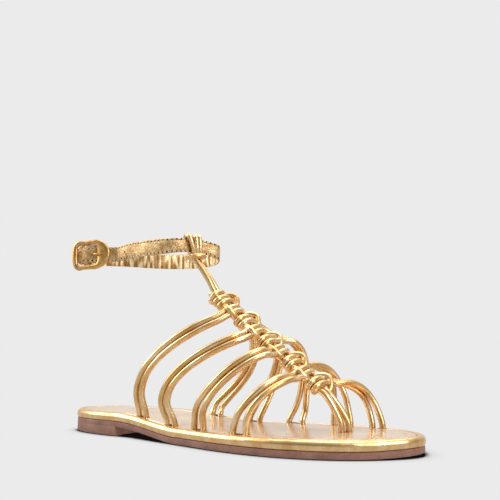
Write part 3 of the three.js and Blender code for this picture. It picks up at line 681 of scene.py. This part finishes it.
def soleSlots():
    slotShape = {"slack": 0.55, "depth": 9, "below": 0.9}
    bm = bmesh.new()
    pairs = []
    for side, land, _, spread, *_ in straps:
        half = Vector((0.5 * spread * cord["width"], 0, 0))
        pairs.append((strapFoot(side, land) - half, strapFoot(side, land) + half))
    pairs.append((postFoot(-1), postFoot(1)))
    for a, b in pairs:
        ahead, middle = b - a, (a + b) / 2
        radius = cord["width"] / 2 + slotShape["slack"]
        made = bmesh.ops.create_circle(bm, segments=24, radius=radius, cap_ends=True)["verts"]
        for v in made:
            v.co.x += (1 if v.co.x > 0 else -1) * ahead.xy.length / 2
        face = next(f for f in bm.faces if made[0] in f.verts)
        top = [g for g in bmesh.ops.extrude_face_region(bm, geom=[face])["geom"]
               if isinstance(g, bmesh.types.BMVert)]
        bmesh.ops.translate(bm, verts=top, vec=(0, 0, slotShape["depth"]))
        place = Matrix.Translation((middle.x, middle.y, min(a.z, b.z) - slotShape["below"]))
        turned = Matrix.Rotation(atan2(ahead.y, ahead.x), 4, "Z")
        bmesh.ops.transform(bm, matrix=place @ turned, verts=[*made, *top])
    return placedCutter(bm, "soleSlots")


slotCutter = soleSlots()


# Outsole: a thin layer with a low heel block

panelRows = [(7, 0), (7.3, 0.3), (7.6, 0.35)]  # the sunken panel that holds the tread's ribs


def layerUnder(x, y):
    return max(seamHeight(x, y) - sole["outsole"], 0)


def outsoleLayer():
    rows = shellRows(seamHeight, [(1.1, 0), (0.8, -0.05), (0.6, -0.25), (0.5, -0.6)])
    rows += shellRows(layerUnder, [(0.5, 1.2), (0.6, 0.7), (0.9, 0.3), (1.6, 0)] + panelRows)
    addPiece(soleShell(rows), "outsoleLayer", rubberLook, ["outsole"], sharp=50)


def heelBlock():
    rows = shellRows(layerUnder, [(1.6, 0.9), (0.7, 0.8), (0.52, 0)])
    rows += shellRows(lambda x, y: layerUnder(x, y) * 0.55, [(0.5, 0.1)])
    rows += shellRows(lambda x, y: 0, [(0.6, 0.9), (0.9, 0.35), (1.6, 0)] + panelRows)
    bm = soleShell(rows)
    bmesh.ops.bisect_plane(bm, geom=[*bm.verts, *bm.edges, *bm.faces], plane_co=(sole["heelLength"], 0, 0),
                           plane_no=(1, 0, 0), clear_outer=True)
    bmesh.ops.holes_fill(bm, edges=[e for e in bm.edges if e.is_boundary])
    addPiece(bm, "heelBlock", rubberLook, sharp=40)


def treadRibs():
    # ribs across the sunken panels under the heel and the forefoot, level with the panels' borders
    tread = {"pitch": 3.4, "width": 1.5, "height": 0.5, "lift": 0.02, "inset": 9.5, "shortest": 7.5,
             "spans": [(11, 50), (132, 238)], "bevel": 0.15}
    bm = bmesh.new()
    for first, last in tread["spans"]:
        for k in range(int((last - first) / tread["pitch"]) + 1):
            x = first + k * tread["pitch"]
            right, left = edgeAt(x, -1) + tread["inset"], edgeAt(x, 1) - tread["inset"]
            if left - right < tread["shortest"]:
                continue
            size = Matrix.Diagonal((tread["width"], left - right, tread["height"], 1))
            place = Matrix.Translation((x, (left + right) / 2, tread["lift"] + tread["height"] / 2))
            bmesh.ops.create_cube(bm, size=1, matrix=place @ size)
    bmesh.ops.bevel(bm, geom=list(bm.edges), offset=tread["bevel"], segments=2, profile=0.5, affect="EDGES",
                    material=-1)
    addPiece(bm, "treadRibs", rubberLook, sharp=50)


outsoleLayer()
heelBlock()
treadRibs()


# Midsole: foiled leather rolled over the edge, round a sunken deck

def rolledRim():
    rim = {
        "rows": [(4.55, 0.82), (4.2, 0.95), (3.6, 1.02), (2.9, 1.04), (2.1, 1.02), (1.4, 0.97), (0.8, 0.88),
                 (0.35, 0.75), (0.08, 0.6), (0, 0.44), (0.1, 0.26), (0.4, 0.1), (0.9, 0)],
        "foot": 0.12, "creaseDepth": 0.16, "creasePitch": 5, "creaseHeight": 14,
    }
    roll = [(inset, rim["foot"] + share * sole["rim"]) for inset, share in rim["rows"]]
    bm = soleShell([(sole["rimWidth"], deckHeight)] + shellRows(seamHeight, roll), steps=150)
    bm.normal_update()
    pitch, height = rim["creasePitch"], rim["creaseHeight"]
    for v in bm.verts:
        fold = noise.noise(Vector((v.co.x / pitch, v.co.y / pitch, v.co.z / height)))
        v.co += v.normal * fold * rim["creaseDepth"]
    addPiece(bm, "rolledRim", rimLook, ["midsole"], sharp=60, cut=slotCutter)


def sewnFootbed():
    # a pressed line runs round the footbed, inside its rounded edge
    bed = {"line": 4.6, "lineWidth": 0.7, "lineDepth": 0.28, "clearance": 0.1}
    inset = sole["rimWidth"] + bed["clearance"]
    line, wide, deep = inset + bed["line"], bed["lineWidth"], bed["lineDepth"]
    rows = shellRows(footbedTop, [
        (line + wide * 2, 0), (line + wide, 0), (line + wide / 2, -deep * 0.8), (line + wide / 4, -deep),
        (line, 0), (line - wide, 0), (inset + 1, -0.04), (inset + 0.4, -0.2), (inset, -0.6)])
    bm = soleShell(rows + shellRows(deckHeight, [(inset, bed["clearance"])]), steps=150)
    addPiece(bm, "sewnFootbed", footbedLook, ["footbed"], sharp=50, cut=slotCutter)


rolledRim()
sewnFootbed()
bpy.data.objects.remove(slotCutter)


# Ankle strap with its stitching and punched holes

turn = radians(ankle["buckleAngle"])
strapWise, outWise = Vector((cos(turn), sin(turn), 0)), Vector((sin(turn), -cos(turn), 0))
buckleCentre = anklePlace(*ankle["buckle"])
buckle = {"length": 30, "thickness": 2.4, "bar": 0.9, "prong": 0.95, "tilt": 3}
# how far out from the bar's middle the strap's fold, its tail over and beside the fold, and the frame lie
foldRadius = buckle["bar"] + 0.45 + ankle["thickness"] / 2
tailOut = foldRadius + ankle["thickness"] + 0.3
tailLow = buckle["bar"] + ankle["thickness"] * 0.62
frameOut = tailLow + ankle["thickness"] / 2 + 0.48 + buckle["thickness"] / 2
openingStart, openingEnd = -0.33 * buckle["length"], 0.17 * buckle["length"]
barAlong = (openingStart + openingEnd) / 2


def atBuckle(along, out, up=0):
    return buckleCentre + strapWise * along + outWise * out + upwards * up


bandRoute = [atBuckle(barAlong + along * foldRadius, out * foldRadius)
             for along, out in ((0.45, 1), (0.95, 0.35), (0.8, -0.6), (0, -1))]
bandRoute += [atBuckle(barAlong - 3, -foldRadius), atBuckle(openingStart, -foldRadius), *ankleLoop]
bandRoute += [atBuckle(along, out) for along, out in (
    (18.6, 0.85 * ankle["thickness"]), (12, tailLow), (openingEnd, tailLow + 0.1),
    (barAlong + 2.6, tailOut - 0.35), (barAlong, tailOut), (barAlong - 2.6, tailOut - 0.35),
    (openingStart, tailLow + 0.1), (openingStart - 2.6, tailLow))]


def bandAxes(places, i):
    ahead = (places[min(len(places) - 1, i + 1)] - places[max(0, i - 1)]).normalized()
    return ahead, Vector((-ahead.y, ahead.x, 0)).normalized()


def axesMatrix(x, y, z):
    return Matrix((x, y, z)).transposed().to_4x4()


def punchedHoles():
    # the prong's own longer hole, and the row of round ones that leads on from it
    holes = {"radius": 0.85, "pitch": 9, "count": 4, "longer": 1.7, "step": 0.5}
    bm = bmesh.new()
    places, _ = evenPoints(bandRoute, spacing=holes["step"])
    prongHole = atBuckle(barAlong + 4, tailOut - 0.5)
    near = min(range(len(places) // 2, len(places)), key=lambda i: (places[i] - prongHole).length)
    for k in range(holes["count"]):
        i = near - round(k * holes["pitch"] / holes["step"])
        ahead, outer = bandAxes(places, i)
        made = bmesh.ops.create_cone(bm, segments=16, radius1=holes["radius"], radius2=holes["radius"],
                                     depth=5, cap_ends=True)["verts"]
        way = axesMatrix(ahead.cross(upwards).cross(upwards) * -1, upwards, outer)
        stretch = Matrix.Scale(holes["longer"] if k == 0 else 1, 4, (1, 0, 0))
        bmesh.ops.transform(bm, matrix=Matrix.Translation(places[i]) @ way @ stretch, verts=made)
    return placedCutter(bm, "punchedHoles")


def stitchedBand():
    band = {
        # (out, up) round the section: outer face with its stitch channels, lower edge, lining, upper edge
        "half": [(0.8, 4.75), (0.84, 4.4), (0.66, 4.05), (0.84, 3.7), (0.9, 2.2), (0.92, 0)],
        "edge": [(-0.8, 4.7), (-0.68, 5.1), (-0.4, 5.25), (-0.1, 5.25), (0, 5.08), (0.12, 5.25), (0.45, 5.25),
                 (0.7, 5.08)],
        "lining": [(-0.8, 2.4), (-0.8, 0)], "tip": 4.2, "step": 0.7,
        # puckers of the lining, and a slow unevenness of the face
        "pucker": 0.6, "puckerPitch": 2.2, "uneven": 0.05, "unevenPitch": 4,
        # the tail grows wider, and higher, over this length from its end
        "tailWider": 1.2, "tailRise": 0.6, "tailLength": 23, "tailEase": 4,
    }
    section = band["edge"] + band["half"] + [(o, -u) for o, u in band["half"][-2::-1]]
    section += [(o, -u) for o, u in band["edge"][::-1]] + [(o, -u) for o, u in band["lining"]]
    section += [band["lining"][0]]
    places, length = evenPoints(bandRoute, spacing=band["step"])
    count = len(places)
    bm = bmesh.new()
    corner, lining, gather = (bm.verts.layers.float.new(key) for key in ("corner", "lining", "gather"))
    pitch = band["unevenPitch"]
    ring = None
    for i in range(count):
        _, outer = bandAxes(places, i)
        left = length * (1 - i / (count - 1))
        taper = sqrt(clamp(1 - (1 - clamp(left / band["tip"])) ** 2, 0.02))
        wide = clamp((band["tailLength"] - left) / band["tailEase"])
        fromTie = (places[i] - tieFrame(tie["pinchShift"])[0]).length
        pinched = 1 - (1 - tie["pinch"]) * clamp(1.5 - fromTie / tie["pinchLength"])
        if ring is None:
            made = bmesh.ops.create_circle(bm, segments=len(section), radius=1, cap_ends=True)["verts"]
            for j, v in enumerate(made):
                v[corner] = j
            ring = list(bm.edges)
        else:
            made, ring = extrudeEdges(bm, ring)
        for v in made:
            out, up = section[round(v[corner])]
            along = length * i / count
            creaseAndShade = noise.noise(Vector((along / band["puckerPitch"], up / 9, 3)))
            # the same noise that puckers the lining sets its gather value, which paints shade and light into
            # the lining's colour
            v[lining], v[gather] = out < -0.5, clamp(0.5 + 1.1 * creaseAndShade)
            if abs(up) > 4.3:
                up += (1 if up > 0 else -1) * band["tailWider"] * wide
            up = up * pinched + band["tailRise"] * wide
            if out < -0.5:
                out += band["pucker"] * clamp(0.5 + creaseAndShade)
            else:
                out += band["uneven"] * noise.noise(Vector((along, up, 9 * pitch)) / pitch)
            v.co = places[i] + outer * out + upwards * up * taper
    bmesh.ops.edgeloop_fill(bm, edges=ring)
    holeCutter = punchedHoles()
    addPiece(bm, "stitchedBand", strapLook, ["ankle_strap"], sharp=50, cut=holeCutter)
    bpy.data.objects.remove(holeCutter)


def bandStitches():
    stitch = {"pitch": 3, "length": 1.9, "thread": 0.36, "flat": 0.8, "row": 4.05, "face": 0.8, "hole": 0.72,
              "proud": 0.02, "start": 12, "end": 6, "step": 0.15}
    places, length = evenPoints(bandRoute, spacing=stitch["step"])
    perMillimetre = len(places) / length
    size = Matrix.Diagonal((stitch["length"] / 2, stitch["thread"], stitch["thread"] * stitch["flat"], 1))
    turned = Matrix.Rotation(pi / 2, 4, "Y")  # the sphere's poles lie at the stitch's ends

    def onBand(number, up, out):
        i = min(len(places) - 1, round((stitch["start"] + number * stitch["pitch"]) * perMillimetre))
        ahead, outer = bandAxes(places, i)
        return Matrix.Translation(places[i] + outer * out + upwards * up) @ axesMatrix(ahead, upwards, outer)

    threads, holes = bmesh.new(), bmesh.new()
    for k in range(int((length - stitch["start"] - stitch["end"]) / stitch["pitch"])):
        for up in (stitch["row"], -stitch["row"]):
            made = bmesh.ops.create_uvsphere(threads, u_segments=6, v_segments=4, radius=1)["verts"]
            bmesh.ops.transform(threads, matrix=onBand(k, up, stitch["face"]) @ size @ turned, verts=made)
            # a dark disc half a stitch along, standing just proud of the face: painted shade where the needle
            # hole is
            made = bmesh.ops.create_circle(holes, segments=8, radius=stitch["hole"], cap_ends=True)["verts"]
            place = onBand(k + 0.5, up, stitch["face"] + stitch["proud"])
            bmesh.ops.transform(holes, matrix=place, verts=made)
    addPiece(threads, "bandStitches", threadLook, sharp=80)
    addPiece(holes, "needleHoleShade", holeShadeLook, sharp=80)


stitchedBand()
bandStitches()


# Buckle: a cast frame with a wide domed end, its bar and its prong

def buckleRing():
    cast = {
        # (along, up) of the outer edge and, matched to it, of the opening
        "outer": [(-14.4, 0), (-14.1, 4.5), (-12.6, 8.6), (-9.6, 10.6), (-5, 10.3), (0, 10.4), (4.2, 10.6),
                  (8.6, 9.3), (12.3, 6.6), (14.6, 3), (15, 0)],
        "inner": [(-10.5, 0), (-10.4, 3.6), (-10.1, 6.1), (-8.6, 7.1), (-5, 7.2), (-1, 7.2), (2.4, 7.1),
                  (4.5, 6.2), (5.1, 4.2), (5.2, 2), (5.2, 0)],
        "rows": 16, "segments": 96, "front": 1.45, "back": 1, "fullness": 0.7,
    }
    outer, inner = ([Vector((along, up, 0)) for along, up in half]
                    + [Vector((along, -up, 0)) for along, up in half[-2:0:-1]]
                    for half in (cast["outer"], cast["inner"]))
    tilt = Matrix.Rotation(radians(buckle["tilt"]), 3, "Z")
    bm = bmesh.new()
    turnLayer = bm.verts.layers.float.new("turn")
    made = bmesh.ops.create_circle(bm, segments=cast["segments"], radius=1)["verts"]
    for j, v in enumerate(made):
        v[turnLayer] = j / cast["segments"]
    edges = list(bm.edges)
    for row in range(cast["rows"] + 1):
        angle = 2 * pi * row / cast["rows"]
        across, rise = 0.5 - 0.5 * cos(angle), sin(angle)
        dome = abs(rise) ** cast["fullness"]
        rise = dome * cast["front"] if rise > 0 else -dome * cast["back"]
        if row:
            made, edges = extrudeEdges(bm, edges)
        for v in made:
            edge, opening = (curvePoint(points, v[turnLayer], True) for points in (outer, inner))
            flat = tilt @ opening.lerp(edge, across)
            v.co = atBuckle(flat.x, frameOut + rise, flat.y)
    bmesh.ops.remove_doubles(bm, verts=bm.verts, dist=1e-4)
    addPiece(bm, "buckleRing", plateLook, ["buckle_frame"], sharp=80)


def buckleBar():
    # from the frame's one side down behind the strap's fold and back to its other side
    shoulder = ankle["band"] / 2 + 0.3 + buckle["bar"]
    half = [(frameOut, shoulder + 1.6), (frameOut * 0.7, shoulder + 0.25), (0.6, shoulder - 0.05),
            (0, shoulder - 0.7), (0, 0)]
    route = [atBuckle(barAlong, out, up) for out, up in half]
    route += [atBuckle(barAlong, out, -up) for out, up in half[-2::-1]]
    return route


def prongRoute():
    # round the bar, out through the strap and onto the frame
    around = 1  # from a surface to the middle of the prong that lies on it
    reach = buckle["bar"] + around
    rest = frameOut + buckle["thickness"] / 2 + around
    return [atBuckle(barAlong - reach, 0.2), atBuckle(barAlong - 0.7 * reach, -0.75 * reach),
            atBuckle(barAlong, -reach), atBuckle(barAlong + 0.75 * reach, -0.7 * reach),
            atBuckle(barAlong + 1.15 * reach, 0.3), atBuckle(barAlong + 3.2, tailLow),
            atBuckle(barAlong + 4.4, tailOut + 0.2), atBuckle(openingEnd - 0.4, rest - 0.25),
            atBuckle(openingEnd + 1.6, rest), atBuckle(openingEnd + 3.4, rest)]


buckleRing()
cordSet([buckleBar()], "buckleBar", plateLook, buckle["bar"], 60)
cordSet([prongRoute()], "bucklePin", plateLook, buckle["prong"], 61, ["buckle_prong"])


# Studio

def studio():
    room = {
        "backdrop": "#EBEBEB", "fill": 1, "floorGlow": 0.7, "floorDrop": 0.0002, "floorHalf": 6,
        # the floor's painted contact shadow: its colour, its reach in metres, and how it darkens with nearness
        "contactShadow": "#150F10", "contactShadowReach": 0.012, "contactShadowSteps": [(0.5, 0), (0.66, 0.86), (0.95, 1)],
        # brightness of the room: from behind the camera to the backdrop, and from the horizon to the ceiling
        "backdropWay": (-0.557, 0.83, 0), "walls": [(0, 0.08), (0.4, 0.13), (0.62, 0.55), (1, 0.75)],
        "ceiling": [(0, 0), (0.3, 0.02), (1, 0.55)],
        # a low white card on the camera's side of the room: its brightness upwards, and towards the backdrop
        "cardHeight": [(0, 0.42), (0.12, 0.4), (0.24, 0)], "cardSide": [(0, 1), (0.35, 1), (0.6, 0)],
        "boxes": [("topBox", (0.05, 0.2, 1.05), 1.2, 8), ("leftBox", (-0.75, -0.5, 0.6), 0.8, 8),
                  ("rightBox", (0.9, -0.2, 0.5), 0.5, 5)],
    }
    scene = bpy.context.scene
    scene.view_settings.view_transform = "Standard"
    bm = bmesh.new()
    bmesh.ops.create_grid(bm, x_segments=1, y_segments=1, size=room["floorHalf"])
    bmesh.ops.translate(bm, verts=bm.verts, vec=(0, 0, -room["floorDrop"]))
    floor = newObject(bm, "floor")
    paper = bpy.data.materials.new("paperSweep")
    paper.use_nodes = True
    tree = paper.node_tree
    tree.nodes.clear()
    # painted shadow: the floor seen by the camera darkens towards the contact colour where the shoe is near
    nearness = addNode(tree, "AmbientOcclusion", {"Distance": room["contactShadowReach"], "samples": 16})
    lightness = colourSteps(tree, nearness.outputs["AO"], room["contactShadowSteps"])
    colours = {"data_type": "RGBA", 6: hexColour(room["contactShadow"]), 7: hexColour(room["backdrop"])}
    shadowedFloorTone = addNode(tree, "Mix", colours, {0: lightness}).outputs[2]
    shown = addNode(tree, "Emission", {"Strength": 1}, {"Color": shadowedFloorTone})
    glow = addNode(tree, "Emission", {"Strength": room["floorGlow"]})
    seen = addNode(tree, "LightPath").outputs["Is Camera Ray"]
    mix = addNode(tree, "MixShader", links={0: seen, 1: glow.outputs[0], 2: shown.outputs[0]})
    # seen from below, the floor lets the soles show
    below = addNode(tree, "NewGeometry").outputs["Backfacing"]
    clear = addNode(tree, "BsdfTransparent")
    mix = addNode(tree, "MixShader", links={0: below, 1: mix.outputs[0], 2: clear.outputs[0]})
    addNode(tree, "OutputMaterial", links={"Surface": mix.outputs[0]})
    floor.data.materials.append(paper)

    world = bpy.data.worlds.new("studio")
    scene.world = world
    world.use_nodes = True
    tree = world.node_tree
    tree.nodes.clear()
    def mixed(how, first, second):
        settings = {"data_type": "RGBA", "blend_type": how, 0: 1}
        return addNode(tree, "Mix", settings, {6: first, 7: second}).outputs[2]

    seen = addNode(tree, "LightPath").outputs["Is Camera Ray"]
    sky = addNode(tree, "TexCoord").outputs["Generated"]
    upward = addNode(tree, "SeparateXYZ", links={0: sky}).outputs["Z"]
    towards = {"operation": "DOT_PRODUCT", 1: room["backdropWay"]}
    facing = addNode(tree, "VectorMath", towards, {0: sky}).outputs["Value"]
    halfAndHalf = {"operation": "MULTIPLY_ADD", 1: 0.5, 2: 0.5}  # from -1 and 1 to 0 and 1
    facing = addNode(tree, "Math", halfAndHalf, {0: facing}).outputs[0]
    shell = mixed("ADD", colourSteps(tree, facing, room["walls"]), colourSteps(tree, upward, room["ceiling"]))
    card = mixed("MULTIPLY", colourSteps(tree, upward, room["cardHeight"]),
                 colourSteps(tree, facing, room["cardSide"]))
    light = mixed("ADD", shell, card)
    fill = addNode(tree, "Background", {"Strength": room["fill"]}, {"Color": light})
    backdrop = addNode(tree, "Background", {"Color": hexColour(room["backdrop"]), "Strength": 1})
    mix = addNode(tree, "MixShader", links={0: seen, 1: fill.outputs[0], 2: backdrop.outputs[0]})
    addNode(tree, "OutputWorld", links={"Surface": mix.outputs[0]})

    middle = Vector((0.09, 0, 0.06))
    for name, place, size, power in room["boxes"]:
        light = bpy.data.lights.new(name, "AREA")
        light.shape, light.size, light.energy = "SQUARE", size, power
        lamp = bpy.data.objects.new(name, light)
        lamp.location = place
        lamp.rotation_euler = (middle - Vector(place)).to_track_quat("-Z", "Y").to_euler()
        scene.collection.objects.link(lamp)

    camera = bpy.data.objects.new("camera", bpy.data.cameras.new("camera"))
    camera.data.sensor_width, camera.data.lens = 36, 45.254
    camera.data.clip_start, camera.data.clip_end = 0.01, 30
    turned = axesMatrix((0.830775, 0.556590, 0.004442), (0.089377, -0.141275, 0.985928),
                        (0.549385, -0.818687, -0.167114))
    camera.matrix_world = Matrix.Translation((0.336448, -0.328444, 0.051)) @ turned
    scene.collection.objects.link(camera)
    scene.camera = camera
    print("studio and camera set")


studio()
